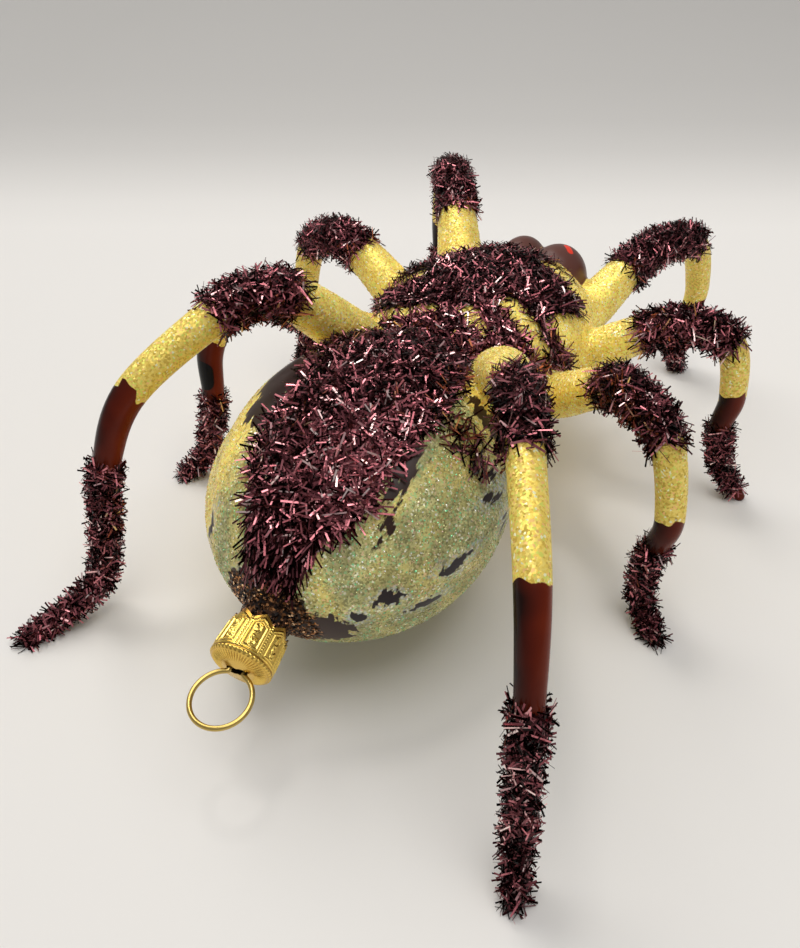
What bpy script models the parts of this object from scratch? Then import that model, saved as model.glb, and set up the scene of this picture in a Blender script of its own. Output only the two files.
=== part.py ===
# Glass tarantula ornament: a blown body and eight drawn legs, tinsel fur, a crown cap and a ring.
# The spider heads along +Y and stands on its toes at Z = 0, with the origin under its middle.
import math

import bmesh
import bpy
from mathutils import Matrix, Vector

MM = 0.001
GAP = 0.3
SLIVER = 0.02
CENTRING = (-0.75, -1.3)

# Blown body, in mm. The bulb is the abdomen, and the jaws are the two bulbs at the front.
WALL = 1.2
BULB_CENTRE = (0.0, -41.0, 34.8)
BULB_HALF = (34.0, 40.5, 28.7)
BULB_TILT = 10.0
BULB_LOBES = 9
BULB_LOBE_DEPTH = 0.02
CARAPACE_CENTRE = (-1.5, 28.5, 41.8)
CARAPACE_HALF = (30.0, 38.5, 16.6)
WAIST_CENTRE = (0.0, -6.0, 38.0)
WAIST_HALF = (12.0, 14.0, 11.0)
JAWS = (  # centre, half sizes and roll
    ((-4.3, 64.5, 43.2), (8.0, 10.5, 10.8), -13.0),
    ((7.3, 64.0, 42.8), (9.3, 11.0, 11.0), 13.0),
)
BULB_MESH = (22, 11)
CARAPACE_MESH = (16, 8)
SMALL_MESH = (10, 6)
SPLIT = -5.5
NECK_TILT = 10.0
NECK_TURN = 6.0
NECK_MOUTH = (0.7, -92.4, 24.9)
NECK_RADIUS = 5.2
NECK_FLARE_RADIUS = 11.0
NECK_STRAIGHT = 8.0
NECK_LENGTH = 21.0
NECK_BORE = 4.2

# Crown cap and its ring of wire, in mm along the neck's line.
CAP_PANELS = 8
CAP_WALL = 0.5
CAP_STEP = CAP_WALL + GAP
CAP_RIM_RADIUS = 6.2
CAP_SHOULDER_RADIUS = 6.7
CAP_LENGTH = 10.0
CAP_DOME = 2.2
CAP_NOTCH = 1.6
CAP_HOLE = (5.4, 2.8)
RING_RADIUS = 6.1
RING_WIRE_RADIUS = 0.55
RING_STANDOFF = 7.2
RING_MOUTH_HALF = 1.7
CLIP_LEG = 8.0
CLIP_SPREAD = 2.6

# Legs, in mm. Each stands in an upright plane from its hip to its toe. A line gives, at each
# station, the reach from the hip and the height above the table.
STATIONS = ("root", "hip", "thigh", "knee_start", "knee_top", "knee_end",
            "shin_end", "ankle", "heel", "ball", "toe")
STATION_RADII = (7.8, 7.2, 6.2, 5.2, 4.7, 4.3, 3.9, 3.2, 2.9, 2.7, 1.7)
ROOT_REACH = -7.0
ROOT_DROP = 3.0
STATION_STEPS = (1, 1, 1, 2, 2, 2, 1, 1, 2, 1)
KNEE_FUR = 1.9
FOOT_FUR = 1.7
FOOT_FUR_TOE = 0.9
BORE_RUN_OUT = 4.0
LEGS = {
    "left_1": {
        "hip": (-18.0, 52.0, 38.0), "toe": (-49.5, 102.0), "girth": 1.2,
        "line": ((9, 43), (22, 55), (32, 62), (45, 58), (55, 40), (56, 28), (55, 17), (56, 8)),
    },
    "left_2": {
        "hip": (-22.0, 33.5, 37.0), "toe": (-75.0, 42.0), "girth": 1.1,
        "line": ((9, 41), (24, 51), (34, 54), (44, 48), (48, 34), (48, 25), (48, 15), (50, 8)),
    },
    "left_3": {
        "hip": (-22.0, 15.5, 36.0), "toe": (-71.5, -27.0), "girth": 1.04,
        "line": ((10, 41), (25, 50), (36, 55), (47, 51), (52, 41), (53, 27), (55, 15), (58, 7)),
    },
    "left_4": {
        "hip": (-17.0, -2.0, 40.0), "toe": (-63.5, -96.0), "girth": 1.08,
        "line": ((11, 54), (26, 68), (35, 71), (45, 69), (67, 57), (76, 41), (80, 24), (85, 9)),
    },
    "right_1": {
        "hip": (16.0, 53.0, 37.0), "toe": (43.0, 104.5), "girth": 1.1,
        "line": ((9, 38), (22, 46), (35, 51), (52, 48), (59, 32), (58, 22), (55, 13), (55, 7)),
    },
    "right_2": {
        "hip": (22.0, 33.5, 35.0), "toe": (77.0, 40.5), "girth": 1.0,
        "line": ((8, 39), (20, 47), (30, 51), (42, 48), (46, 33), (45, 23), (47, 13), (50, 7)),
    },
    "right_3": {
        "hip": (22.0, 15.5, 33.5), "toe": (70.0, -24.8), "girth": 0.95,
        "line": ((10, 39), (28, 52), (39, 55), (51, 51), (57, 35), (55, 25), (53, 14), (55, 6)),
    },
    "right_4": {
        "hip": (16.0, -4.0, 40.0), "toe": (63.6, -99.0), "girth": 0.93, "flare": 1.28,
        "line": ((11, 54), (34, 67), (47, 71), (60, 69), (83, 59), (94, 42), (98, 26), (101, 11)),
    },
}
TOE_HEIGHT = 0.3

# Tinsel coats on the body: how thick they stand, and their outlines seen from above, in mm.
COAT_THICKNESS = 2.2
ABDOMEN_COAT_LOWEST = 35.0
ABDOMEN_COAT = ((-5.0, -80.0), (-8.0, -73.0), (-12.0, -66.0), (-14.5, -58.0), (-15.0, -50.0),
                (-20.0, -42.0), (-23.0, -32.0), (-22.0, -20.0), (-16.0, -9.0), (16.0, -9.0),
                (24.0, -20.0), (30.5, -31.0), (28.5, -43.0), (21.0, -46.0), (18.0, -56.0),
                (15.0, -69.0), (9.0, -75.0), (6.0, -80.0))
CARAPACE_COAT_LOWEST = 40.0
CARAPACE_COAT = ((-14.0, -8.5), (-20.5, 3.0), (-26.6, 16.4), (-27.2, 32.3), (-22.0, 45.7),
                 (-11.0, 54.5), (8.0, 54.5), (17.0, 49.0), (23.0, 38.0), (24.5, 22.0),
                 (21.0, 4.0), (14.0, -8.5))


def clear_scene():
    for item in list(bpy.data.objects):
        bpy.data.objects.remove(item, do_unlink=True)


def new_collection(name):
    group = bpy.data.collections.new(name)
    bpy.context.scene.collection.children.link(group)
    return group


def make_material(name, colour, roughness, metallic):
    material = bpy.data.materials.new(name)
    material.use_nodes = True
    shader = material.node_tree.nodes["Principled BSDF"]
    shader.inputs["Base Color"].default_value = (*colour, 1.0)
    shader.inputs["Roughness"].default_value = roughness
    shader.inputs["Metallic"].default_value = metallic
    material.diffuse_color = (*colour, 1.0)
    return material


def make_object(name, mesh, group):
    item = bpy.data.objects.new(name, mesh)
    group.objects.link(item)
    return item


def scaled(point):
    return Vector(point) * MM


def mesh_from_bmesh(name, bm):
    mesh = bpy.data.meshes.new(name)
    bm.to_mesh(mesh)
    bm.free()
    return mesh


def evaluated_mesh(item):
    bpy.context.view_layer.update()
    graph = bpy.context.evaluated_depsgraph_get()
    return bpy.data.meshes.new_from_object(item.evaluated_get(graph), depsgraph=graph)


def as_solid(item, name, group):
    """Turn a curve, or an object with modifiers, into a welded mesh object."""
    mesh = evaluated_mesh(item)
    mesh.name = name
    mesh.materials.clear()
    bm = bmesh.new()
    bm.from_mesh(mesh)
    bmesh.ops.remove_doubles(bm, verts=bm.verts, dist=0.01 * MM)
    bmesh.ops.recalc_face_normals(bm, faces=bm.faces)
    bm.to_mesh(mesh)
    bm.free()
    matrix = item.matrix_world.copy()
    bpy.data.objects.remove(item, do_unlink=True)
    solid = make_object(name, mesh, group)
    solid.matrix_world = matrix
    return solid


def combine(item, other, operation):
    """Apply one exact Boolean and drop the second solid."""
    step = item.modifiers.new(operation, "BOOLEAN")
    step.operation = operation
    step.solver = "EXACT"
    step.object = other
    mesh = evaluated_mesh(item)
    item.modifiers.remove(step)
    bm = bmesh.new()
    bm.from_mesh(mesh)
    bmesh.ops.remove_doubles(bm, verts=bm.verts, dist=SLIVER * MM)
    bmesh.ops.dissolve_degenerate(bm, edges=bm.edges, dist=SLIVER * MM)
    bmesh.ops.triangulate(bm, faces=bm.faces)
    bm.to_mesh(mesh)
    bm.free()
    item.data = mesh
    bpy.data.objects.remove(other, do_unlink=True)
    return item


def keep_largest(item):
    """Drop the crumbs that a cut leaves beside the main body."""
    bm = bmesh.new()
    bm.from_mesh(item.data)
    unseen = set(bm.verts)
    pieces = []
    while unseen:
        reach = [unseen.pop()]
        piece = []
        while reach:
            vertex = reach.pop()
            piece.append(vertex)
            for edge in vertex.link_edges:
                other = edge.other_vert(vertex)
                if other in unseen:
                    unseen.remove(other)
                    reach.append(other)
        pieces.append(piece)
    pieces.sort(key=len)
    for piece in pieces[:-1]:
        bmesh.ops.delete(bm, geom=piece, context="VERTS")
    bm.to_mesh(item.data)
    bm.free()


def copy_solid(item, name, group):
    twin = make_object(name, item.data.copy(), group)
    twin.matrix_world = item.matrix_world.copy()
    return twin


def finish(item, material):
    item.data.materials.clear()
    item.data.materials.append(material)
    item.data.shade_smooth()
    item.data.set_sharp_from_angle(angle=math.radians(38.0))
    return item


# Round forms

def ellipsoid(name, group, centre, half, grow, segments, rings, tilt=0.0, lobes=0, roll=0.0):
    """A round blown form. Lobes are shallow furrows that run along the bulb."""
    bm = bmesh.new()
    bmesh.ops.create_uvsphere(bm, u_segments=segments, v_segments=rings, radius=1.0)
    bmesh.ops.rotate(bm, verts=bm.verts, matrix=Matrix.Rotation(math.radians(90.0), 3, "X"))
    bmesh.ops.rotate(bm, verts=bm.verts, matrix=Matrix.Rotation(math.radians(roll), 3, "Y"))
    for vertex in bm.verts:
        around = math.atan2(vertex.co.x, vertex.co.z)
        girth = math.hypot(vertex.co.x, vertex.co.z)
        swell = 1.0 + BULB_LOBE_DEPTH * math.cos(lobes * around) * girth if lobes else 1.0
        vertex.co.x *= (half[0] + grow) * swell
        vertex.co.z *= (half[2] + grow) * swell
        vertex.co.y *= half[1] + grow
    bmesh.ops.rotate(bm, verts=bm.verts, matrix=Matrix.Rotation(math.radians(tilt), 3, "X"))
    bmesh.ops.translate(bm, verts=bm.verts, vec=centre)
    bmesh.ops.scale(bm, verts=bm.verts, vec=(MM, MM, MM))
    return make_object(name, mesh_from_bmesh(name, bm), group)


def neck_frame(size):
    """The turn that brings +Y onto the neck's line, looking forward from its mouth."""
    return (Matrix.Rotation(math.radians(NECK_TURN), size, "Z")
            @ Matrix.Rotation(math.radians(NECK_TILT), size, "X"))


def along_neck(distance, across=0.0):
    """A point in mm, measured forward from the neck's mouth along its line."""
    return Vector(NECK_MOUTH) + neck_frame(3) @ Vector((across, distance, 0.0))


def turned(name, group, profile, segments):
    """Turn a profile of (distance forward from the mouth, radius) round the neck's line."""
    bm = bmesh.new()
    points = [bm.verts.new((radius * MM, 0.0, distance * MM)) for distance, radius in profile]
    for first, second in zip(points, points[1:]):
        bm.edges.new((first, second))
    item = make_object(name, mesh_from_bmesh(name, bm), group)
    screw = item.modifiers.new("Turn", "SCREW")
    screw.steps = segments
    screw.render_steps = segments
    screw.use_merge_vertices = True
    screw.merge_threshold = 0.01 * MM
    return as_solid(place_on_neck(item, 0.0), name, group)


def blown_body(name, group, grow, detail):
    """The whole blown form, grown outward by some mm, or inward for the inside of the wall."""
    bulb, broad, small = ([count // detail for count in mesh]
                          for mesh in (BULB_MESH, CARAPACE_MESH, SMALL_MESH))
    body = ellipsoid(name, group, BULB_CENTRE, BULB_HALF, grow, *bulb, BULB_TILT, BULB_LOBES)
    forms = [
        ellipsoid("waist", group, WAIST_CENTRE, WAIST_HALF, grow, *small),
        ellipsoid("carapace", group, CARAPACE_CENTRE, CARAPACE_HALF, grow, *broad),
    ]
    for centre, half, roll in JAWS:
        forms.append(ellipsoid("jaw", group, centre, half, grow, *small, roll=roll))
    forms.append(neck(group, grow))
    for form in forms:
        body = combine(body, form, "UNION")
    return body


def half_space(group, side):
    """A block on one side of the split between the abdomen and the thorax."""
    bm = bmesh.new()
    bmesh.ops.create_cube(bm, size=0.2)
    middle = SPLIT * MM + side * (0.1 + 0.5 * GAP * MM)
    bmesh.ops.translate(bm, verts=bm.verts, vec=(0.0, middle, 0.04))
    return make_object("half_space", mesh_from_bmesh("half_space", bm), group)


def neck(group, grow):
    """The open neck, flared where it leaves the bulb. Grown inward, it runs out at the mouth."""
    mouth = -2.0 if grow < 0 else 0.0
    radius = NECK_BORE if grow < 0 else NECK_RADIUS + grow
    flare = NECK_FLARE_RADIUS + grow
    span = NECK_LENGTH - NECK_STRAIGHT
    profile = [(mouth, 0.0), (mouth, radius), (NECK_STRAIGHT, radius)]
    for step in range(1, 4):
        share = step / 3.0
        profile.append((NECK_STRAIGHT + span * share, radius + (flare - radius) * share ** 2))
    profile.append((NECK_LENGTH, 0.0))
    return turned("neck", group, profile[::-1], 14)


# Legs and their sleeves of tinsel

def leg_stations(spec):
    """The leg's stations as points in mm, from inside the body to the toe."""
    hip = Vector(spec["hip"])
    toe = Vector((*spec["toe"], TOE_HEIGHT * spec["girth"]))
    flat = Vector((toe.x - hip.x, toe.y - hip.y, 0.0))
    outward = flat.normalized()
    points = [hip + outward * ROOT_REACH - Vector((0.0, 0.0, ROOT_DROP)), hip]
    for reach, height in spec["line"]:
        points.append(Vector((hip.x, hip.y, 0.0)) + outward * reach + Vector((0.0, 0.0, height)))
    points.append(toe)
    return points


def leg_path(spec, first, last):
    """A smooth line of (point, radius) through the stations, between two of them."""
    points = leg_stations(spec)
    radii = [radius * spec["girth"] for radius in STATION_RADII]
    radii[:3] = [radius * spec.get("flare", 1.0) for radius in radii[:3]]
    start = STATIONS.index(first)
    stop = STATIONS.index(last)
    path = []
    for index in range(start, stop):
        before = points[max(index - 1, 0)]
        here = points[index]
        there = points[index + 1]
        after = points[min(index + 2, len(points) - 1)]
        for step in range(STATION_STEPS[index]):
            t = step / STATION_STEPS[index]
            bend = (here * 2.0 + (there - before) * t
                    + (before * 2.0 - here * 5.0 + there * 4.0 - after) * t ** 2
                    + (here * 3.0 - before - there * 3.0 + after) * t ** 3) * 0.5
            path.append((bend, radii[index] + (radii[index + 1] - radii[index]) * t))
    path.append((points[stop], radii[stop]))
    return path


def tube(name, group, path):
    """A tube along a path of (point, radius), all in mm."""
    curve = bpy.data.curves.new(name, "CURVE")
    curve.dimensions = "3D"
    curve.bevel_depth = MM
    curve.bevel_resolution = 2
    curve.use_fill_caps = True
    line = curve.splines.new("POLY")
    line.points.add(len(path) - 1)
    for spot, (point, radius) in zip(line.points, path):
        spot.co = (*scaled(point), 1.0)
        spot.radius = radius
    return as_solid(make_object(name, curve, group), name, group)


def run_out(path, distance):
    """Carry the end of a path straight on."""
    tail, radius = path[-1]
    after = tail + (tail - path[-2][0]).normalized() * distance
    return path + [(after, radius)]


def thicken(path, start, stop):
    """Add to the radius along a path, from one thickness to another."""
    last = len(path) - 1
    return [(point, radius + start + (stop - start) * index / last)
            for index, (point, radius) in enumerate(path)]


def table_cutter(group):
    """Everything under the table, for the flats under the toes."""
    bm = bmesh.new()
    bmesh.ops.create_cube(bm, size=1.0)
    bmesh.ops.scale(bm, verts=bm.verts, vec=(0.3, 0.3, 0.02))
    bmesh.ops.translate(bm, verts=bm.verts, vec=(0.0, 0.0, -0.01))
    return make_object("table", mesh_from_bmesh("table", bm), group)


def make_leg(label, spec, parts, cutters, body_cutter, glass, tinsel):
    """One glass leg, its knee sleeve and its foot sleeve."""
    leg = tube("leg_" + label, parts, leg_path(spec, "root", "toe"))
    leg = combine(leg, copy_solid(body_cutter, "body_cut", cutters), "DIFFERENCE")
    leg = combine(leg, table_cutter(cutters), "DIFFERENCE")
    finish(leg, glass)
    knee = leg_path(spec, "knee_start", "knee_end")
    foot = leg_path(spec, "ankle", "toe")
    knee_bore = leg_path(spec, "thigh", "shin_end")
    foot_bore = run_out(leg_path(spec, "shin_end", "toe"), BORE_RUN_OUT)
    sleeves = (
        ("knee_tinsel_" + label, thicken(knee, KNEE_FUR, KNEE_FUR), knee_bore),
        ("foot_tinsel_" + label, thicken(foot, FOOT_FUR, FOOT_FUR_TOE), foot_bore),
    )
    for name, outer, inner in sleeves:
        sleeve = tube(name, parts, outer)
        bore = tube("bore", cutters, thicken(inner, GAP, GAP))
        sleeve = combine(sleeve, bore, "DIFFERENCE")
        if name.startswith("foot"):
            sleeve = combine(sleeve, table_cutter(cutters), "DIFFERENCE")
        finish(sleeve, tinsel)


# Coats, cap and ring

def outline_prism(name, group, outline, lowest):
    """An outline seen from above, carried up through the body's height."""
    curve = bpy.data.curves.new(name, "CURVE")
    curve.dimensions = "2D"
    curve.fill_mode = "BOTH"
    curve.extrude = 20.0 * MM
    line = curve.splines.new("POLY")
    line.use_cyclic_u = True
    line.points.add(len(outline) - 1)
    for spot, (x, y) in zip(line.points, outline):
        spot.co = (x * MM, y * MM, 0.0, 1.0)
    item = make_object(name, curve, group)
    item.location.z = (lowest + 20.0) * MM
    return as_solid(item, name, group)


def make_coat(name, form, outline, lowest, legs, parts, cutters, body_cutter, tinsel):
    """A tinsel coat: the grown form inside an outline, less the glass under and beside it."""
    coat = combine(form, outline_prism("outline", cutters, outline, lowest), "INTERSECT")
    coat = combine(coat, copy_solid(body_cutter, "body_cut", cutters), "DIFFERENCE")
    for label in legs:
        thigh = thicken(leg_path(LEGS[label], "root", "knee_start"), GAP, GAP)
        coat = combine(coat, tube("thigh_cut", cutters, thigh), "DIFFERENCE")
    keep_largest(coat)
    coat.name = name
    return finish(coat, tinsel)


def crown_notch(index, group):
    """The gap between the points of two panels at the cap's rim."""
    bm = bmesh.new()
    bmesh.ops.create_cone(bm, cap_ends=True, segments=3, radius1=CAP_NOTCH, radius2=CAP_NOTCH,
                          depth=6.0)
    bmesh.ops.rotate(bm, verts=bm.verts, matrix=Matrix.Rotation(math.radians(90.0), 3, "Y"))
    bmesh.ops.translate(bm, verts=bm.verts, vec=(CAP_RIM_RADIUS, 0.0, CAP_LENGTH + 0.5))
    angle = 2.0 * math.pi * (index + 0.5) / CAP_PANELS
    bmesh.ops.rotate(bm, verts=bm.verts, matrix=Matrix.Rotation(angle, 3, "Z"))
    bmesh.ops.scale(bm, verts=bm.verts, vec=(MM, MM, MM))
    return place_on_neck(make_object("notch", mesh_from_bmesh("notch", bm), group), -CAP_STEP)


def place_on_neck(item, distance):
    """Stand an object built along Z on the neck's line, so many mm forward of the mouth."""
    item.matrix_world = (Matrix.Translation(along_neck(distance) * MM) @ neck_frame(4)
                         @ Matrix.Rotation(math.radians(-90.0), 4, "X"))
    return item


def cap_hole(group):
    """The oval hole in the cap's end, long way across."""
    bm = bmesh.new()
    bmesh.ops.create_cone(bm, cap_ends=True, segments=12, radius1=0.5, radius2=0.5, depth=8.0)
    bmesh.ops.scale(bm, verts=bm.verts, vec=(CAP_HOLE[0], CAP_HOLE[1], 1.0))
    bmesh.ops.scale(bm, verts=bm.verts, vec=(MM, MM, MM))
    return place_on_neck(make_object("hole", mesh_from_bmesh("hole", bm), group), -CAP_STEP)


def make_cap(parts, cutters, brass):
    """A stamped cup over the neck, with pointed panels at its rim and an oval hole in its end."""
    end = -CAP_STEP
    rim = end + CAP_LENGTH
    inner = (CAP_SHOULDER_RADIUS - CAP_WALL, CAP_RIM_RADIUS - CAP_WALL)
    profile = [
        (end - CAP_DOME * 0.5, 0.0),
        (end - CAP_DOME * 0.5, 3.6),
        (end + 0.2, CAP_SHOULDER_RADIUS - 0.9),
        (end + 0.9, CAP_SHOULDER_RADIUS + 0.15),
        (end + 1.7, CAP_SHOULDER_RADIUS - 0.15),
        (rim, CAP_RIM_RADIUS),
        (rim, inner[1]),
        (end + 1.2, inner[0]),
        (end + CAP_WALL, 4.4),
        (end - CAP_DOME * 0.5 + CAP_WALL, 3.2),
        (end - CAP_DOME * 0.5 + CAP_WALL, 0.0),
    ]
    cap = turned("cap", parts, profile[::-1], 14)
    for index in range(CAP_PANELS):
        cap = combine(cap, crown_notch(index, cutters), "DIFFERENCE")
    cap = combine(cap, cap_hole(cutters), "DIFFERENCE")
    return finish(cap, brass)


def make_ring(parts, brass):
    """One wire: a ring outside the cap and two legs that spread apart inside the neck."""
    turn = math.asin(RING_MOUTH_HALF / RING_RADIUS)
    count = 12
    bend = []
    for step in range(count + 1):
        angle = turn + (2.0 * math.pi - 2.0 * turn) * step / count
        bend.append((RING_RADIUS * math.sin(angle), RING_RADIUS * math.cos(angle) - RING_STANDOFF))
    start = bend[0][1]
    legs = ((RING_MOUTH_HALF, start + 2.0), (CLIP_SPREAD, start + CLIP_LEG))
    line = [(x, y) for x, y in legs[::-1]] + bend + [(-x, y) for x, y in legs]
    path = []
    for x, y in line:
        path.append((along_neck(y - CAP_STEP, x), RING_WIRE_RADIUS))
    ring = tube("hanger_ring", parts, path)
    return finish(ring, brass)


def main():
    clear_scene()
    parts = new_collection("glass_tarantula_ornament")
    cutters = new_collection("cutters")
    glass = make_material("brown lacquered glass", (0.16, 0.035, 0.015), 0.3, 0.0)
    glitter = make_material("yellow glitter on glass", (0.62, 0.55, 0.22), 0.35, 0.3)
    tinsel = make_material("burgundy tinsel", (0.09, 0.02, 0.03), 0.3, 0.7)
    brass = make_material("gold brass", (0.8, 0.52, 0.16), 0.25, 1.0)

    body = blown_body("glass_body", parts, 0.0, 1)
    body = combine(body, blown_body("inside", cutters, -WALL, 2), "DIFFERENCE")
    thorax = combine(copy_solid(body, "glass_thorax", parts), half_space(cutters, 1.0), "INTERSECT")
    body = combine(body, half_space(cutters, -1.0), "INTERSECT")
    finish(thorax, glitter)
    finish(body, glitter)
    body_cutter = blown_body("body_cutter", cutters, GAP, 1)

    for label, spec in LEGS.items():
        make_leg(label, spec, parts, cutters, body_cutter, glass, tinsel)

    bulb = ellipsoid("bulb_form", parts, BULB_CENTRE, BULB_HALF, COAT_THICKNESS,
                     *BULB_MESH, BULB_TILT, BULB_LOBES)
    make_coat("abdomen_tinsel", bulb, ABDOMEN_COAT, ABDOMEN_COAT_LOWEST, ("left_4", "right_4"),
              parts, cutters, body_cutter, tinsel)
    carapace = ellipsoid("carapace_form", parts, CARAPACE_CENTRE, CARAPACE_HALF, COAT_THICKNESS,
                         *CARAPACE_MESH)
    make_coat("carapace_tinsel", carapace, CARAPACE_COAT, CARAPACE_COAT_LOWEST, LEGS,
              parts, cutters, body_cutter, tinsel)

    make_cap(parts, cutters, brass)
    make_ring(parts, brass)
    bpy.data.objects.remove(body_cutter, do_unlink=True)
    shift = Matrix.Translation(scaled((*CENTRING, 0.0)))
    for item in parts.objects:
        item.matrix_world = shift @ item.matrix_world


main()
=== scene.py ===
import math

import bmesh
import bpy
import numpy as np
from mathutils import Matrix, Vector, noise


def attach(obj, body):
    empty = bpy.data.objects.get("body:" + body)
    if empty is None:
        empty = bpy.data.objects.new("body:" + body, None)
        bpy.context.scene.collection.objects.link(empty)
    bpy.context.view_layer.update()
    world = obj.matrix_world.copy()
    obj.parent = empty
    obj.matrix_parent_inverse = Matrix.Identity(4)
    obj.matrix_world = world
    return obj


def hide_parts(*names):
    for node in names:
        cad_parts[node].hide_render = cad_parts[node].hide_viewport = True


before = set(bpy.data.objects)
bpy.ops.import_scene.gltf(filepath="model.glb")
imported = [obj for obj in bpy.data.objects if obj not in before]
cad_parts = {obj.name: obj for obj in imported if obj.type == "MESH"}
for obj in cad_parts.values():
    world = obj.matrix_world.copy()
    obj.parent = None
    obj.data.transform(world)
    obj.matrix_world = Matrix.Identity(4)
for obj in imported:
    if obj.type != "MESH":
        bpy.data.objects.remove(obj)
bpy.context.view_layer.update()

centring = np.array((-0.75, -1.3, 0.0))  # brings the middle of the footprint to the origin

# Node trees, for materials and for Geometry Nodes


class Value:
    # A socket that can be added, multiplied and so on as a number.
    def __init__(self, graph, socket):
        self.graph = graph
        self.socket = socket

    def other(self, name):
        return Value(self.graph, self.socket.node.outputs[name])

    def __add__(self, item):
        return self.graph.maths("ADD", self, item)

    def __radd__(self, item):
        return self.graph.maths("ADD", item, self)

    def __sub__(self, item):
        return self.graph.maths("SUBTRACT", self, item)

    def __rsub__(self, item):
        return self.graph.maths("SUBTRACT", item, self)

    def __mul__(self, item):
        return self.graph.maths("MULTIPLY", self, item)

    def __rmul__(self, item):
        return self.graph.maths("MULTIPLY", item, self)

    def __pow__(self, item):
        return self.graph.maths("POWER", self, item)

    def __rpow__(self, item):
        return self.graph.maths("POWER", item, self)

    def clamp(self):
        return self.graph.node("ShaderNodeClamp", {}, {0: self})


class Graph:
    # Adds nodes to a tree by type, settings and the values or links of their sockets.
    def __init__(self, tree):
        self.tree = tree

    def node(self, kind, settings, inputs, output=0):
        made = self.tree.nodes.new(kind)
        for key, setting in settings.items():
            if key == "stops":
                self.setStops(made.color_ramp, *setting)
            else:
                setattr(made, key, setting)
        for key, item in inputs.items():
            self.give(made.inputs[key], item)
        return Value(self, made.outputs[output]) if made.outputs else made

    def setStops(self, ramp, stops, interpolation):
        ramp.interpolation = interpolation
        while len(ramp.elements) < len(stops):
            ramp.elements.new(1.0)
        for element, (place, colour) in zip(ramp.elements, stops):
            element.position = place
            element.color = (*colour, 1.0)

    def give(self, socket, item):
        if isinstance(item, Value):
            self.tree.links.new(item.socket, socket)
        else:
            socket.default_value = item

    def maths(self, operation, first, second=0.0):
        return self.node("ShaderNodeMath", {"operation": operation}, {0: first, 1: second})

    def vector(self, operation, first, second=(0.0, 0.0, 0.0)):
        return self.node("ShaderNodeVectorMath", {"operation": operation}, {0: first, 1: second})

    def stretch(self, vector, amount):
        return self.node("ShaderNodeVectorMath", {"operation": "SCALE"},
                         {"Vector": vector, "Scale": amount})

    def blend(self, share, first, second):
        return self.node("ShaderNodeMix", {"data_type": "RGBA"},
                         {0: share, 6: first, 7: second}, 2)

    def ramp(self, share, stops, interpolation="LINEAR"):
        return self.node("ShaderNodeValToRGB", {"stops": (stops, interpolation)}, {0: share})

    def blendVectors(self, share, first, second):
        return self.node("ShaderNodeMix", {"data_type": "VECTOR"},
                         {0: share, 4: first, 5: second}, 1)

    def channel(self, vector, axis):
        return self.node("ShaderNodeSeparateXYZ", {}, {0: vector}, axis)

    def straight(self):
        return self.node("ShaderNodeNewGeometry", {}, {}, "Normal")

    def field(self, name):
        return self.node("ShaderNodeAttribute", {"attribute_name": name}, {}, "Fac")

    def noise(self, place, scale, detail=2.0):
        return self.node("ShaderNodeTexNoise", {},
                         {"Vector": place, "Scale": scale, "Detail": detail})

    def drawnOut(self, place, squeeze, scale):
        # Noise drawn out along the body, where squeeze is small.
        mapped = self.node("ShaderNodeMapping", {"vector_type": "POINT"},
                           {"Vector": place, "Scale": squeeze})
        return self.noise(mapped, scale, 3.0)


class Finish(Graph):
    # A Principled material being put together.
    def __init__(self, name):
        self.material = bpy.data.materials.new(name)
        self.material.use_nodes = True
        super().__init__(self.material.node_tree)
        self.shader = self.tree.nodes["Principled BSDF"]
        self.place = self.node("ShaderNodeTexCoord", {}, {}, "Object")

    def set(self, **values):
        for label, item in values.items():
            name = {"colour": "Base Color", "roughness": "Roughness", "metallic": "Metallic",
                    "normal": "Normal", "specular": "Specular IOR Level"}[label]
            self.give(self.shader.inputs[name], item)
        return self.material

    def cells(self, size):
        return self.node("ShaderNodeTexVoronoi", {}, {"Vector": self.place, "Scale": 1000.0 / size},
                         "Color")

    def facets(self, cell, strength):
        tilt = self.stretch(self.vector("SUBTRACT", cell, (0.5, 0.5, 0.5)), strength)
        return self.vector("NORMALIZE", self.vector("ADD", self.straight(), tilt))


# Meshes


def metres(points):
    return (np.asarray(points, float) + centring) * 0.001


def unit(vector):
    return vector / np.linalg.norm(vector)


def addObject(name, data):
    item = bpy.data.objects.new(name, data)
    bpy.context.scene.collection.objects.link(item)
    return item


def addMesh(name, points, faces):
    mesh = bpy.data.meshes.new(name)
    mesh.from_pydata(metres(points).tolist(), [], faces)
    mesh.update()
    return addObject(name, mesh)


def settle(piece):
    # The evaluated shape becomes the piece's own plain mesh.
    bpy.context.view_layer.update()
    graph = bpy.context.evaluated_depsgraph_get()
    mesh = bpy.data.meshes.new_from_object(piece.evaluated_get(graph), depsgraph=graph)
    piece.modifiers.clear()
    piece.data = mesh
    return piece


def pointsOf(piece):
    flat = np.zeros(len(piece.data.vertices) * 3)
    piece.data.vertices.foreach_get("co", flat)
    return flat.reshape(-1, 3) * 1000.0 - centring


def setFields(piece, **fields):
    for name, values in fields.items():
        layer = piece.data.attributes.new(name, "FLOAT", "POINT")
        layer.data.foreach_set("value", np.asarray(values, np.float32))


def tilted(points, degrees):
    turn = math.radians(degrees)
    x, y, z = np.asarray(points, float).T
    return np.stack((x, y * math.cos(turn) - z * math.sin(turn),
                     y * math.sin(turn) + z * math.cos(turn)), axis=1)


def gridFaces(rows, columns):
    # Quads between rings of points that close round, rows first.
    faces = []
    for low in range(0, (rows - 1) * columns, columns):
        for column in range(columns):
            after = (column + 1) % columns
            faces.append((low + column, low + after, low + columns + after, low + columns + column))
    return faces


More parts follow.
